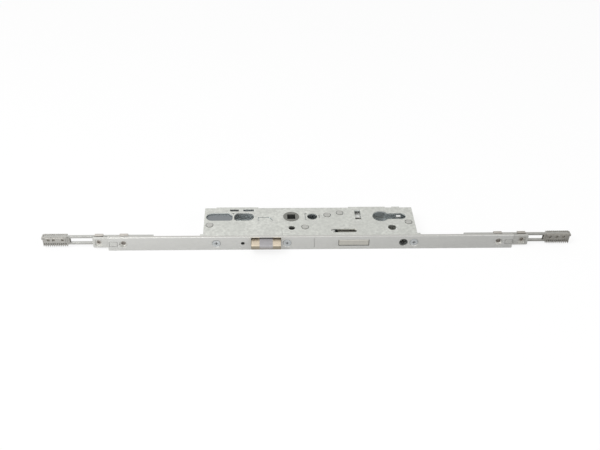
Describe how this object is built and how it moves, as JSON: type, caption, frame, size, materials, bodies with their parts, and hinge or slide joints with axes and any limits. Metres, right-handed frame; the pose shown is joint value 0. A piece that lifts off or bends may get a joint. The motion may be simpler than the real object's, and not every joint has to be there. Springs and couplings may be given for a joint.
{
  "type": "multipoint door lock",
  "caption": "Mortice lock case with latch, deadbolt and follower on a long faceplate, with sliding drive rails that carry toothed rod connectors.",
  "frame": {"origin": "spindle axis at the middle of the lock's thickness", "axes": "the lock lies on its side: +X along the faceplate from the latch end to the cylinder end, +Y into the door with the faceplate's front towards -Y, +Z square to the case's flat side"},
  "size_m": [0.5291, 0.062, 0.016],
  "materials": {
    "faceplate": "satin",
    "screws": "satin",
    "case": "zinc plated, matt",
    "rivets": "satin",
    "follower": "satin",
    "latch": "satin nickel",
    "latch_insert": "matt",
    "deadbolt": "satin nickel",
    "slide": "zinc plated",
    "stud": "turned",
    "rail": "zinc plated",
    "connector": "die-cast zinc, matt",
    "connector_pin": "satin",
    "tongue": "zinc plated",
    "sleeve": "dull, slightly yellow passivated",
    "inner_steel": "plain",
    "spring": "spring steel"
  },
  "bodies": {
    "case": {"faceplate": "faceplate", "faceplate_screws": "screws", "screw_nuts": "inner_steel", "case_tray": "case", "case_cover": "case", "case_posts": "rivets", "latch_bracket": "inner_steel", "upper_tongue": "tongue", "lower_tongue": "tongue", "screw_sleeves": "sleeve", "joining_bushes": "sleeve", "latch_spring": "spring", "follower_spring": "spring", "tumbler_spring": "spring"},
    "follower": {"follower": "follower"},
    "latch": {"latch_bolt": "latch", "latch_insert": "latch_insert", "latch_pin": "inner_steel", "latch_rod": "inner_steel"},
    "deadbolt": {"deadbolt": "deadbolt", "deadbolt_stud": "inner_steel"},
    "drive": {"drive_slide": "slide", "guide_stud": "stud", "upper_rail": "rail", "lower_rail": "rail", "rail_rivets": "inner_steel", "upper_coupling_bar": "rail", "lower_coupling_bar": "rail", "bar_rivets": "rivets", "upper_connector": "connector", "lower_connector": "connector", "connector_pins": "connector_pin"},
    "tumbler": {"tumbler": "slide", "tumbler_pin": "inner_steel"}
  },
  "joints": [
    {"name": "follower_turn", "type": "hinge", "parent": "case", "child": "follower", "pos_m": [0, 0, 0], "axis": [0, 0, 1], "range_deg": [-33.4, 0], "stiffness_Nm_per_rad": 1.5, "springref_deg": 20.05, "deforming": ["follower_spring"]},
    {"name": "latch_retract", "type": "slide", "parent": "case", "child": "latch", "axis": [0, 1, 0], "range_m": [0, 0.0106], "deforming": ["latch_spring"]},
    {"name": "deadbolt_throw", "type": "slide", "parent": "case", "child": "deadbolt", "axis": [0, -1, 0], "range_m": [0, 0.015]},
    {"name": "drive_travel", "type": "slide", "parent": "case", "child": "drive", "axis": [1, 0, 0], "range_m": [0, 0.0201]},
    {"name": "tumbler_lift", "type": "slide", "parent": "case", "child": "tumbler", "axis": [-1, 0, 0], "range_m": [0, 0.0035], "stiffness_N_per_m": 400, "springref_m": -0.004, "deforming": ["tumbler_spring"]}
  ],
  "couplings": [
    {"joint": "latch_retract", "follows": "follower_turn", "m_per_rad": -0.018},
    {"joint": "drive_travel", "follows": "deadbolt_throw", "ratio": 1.3333}
  ]
}
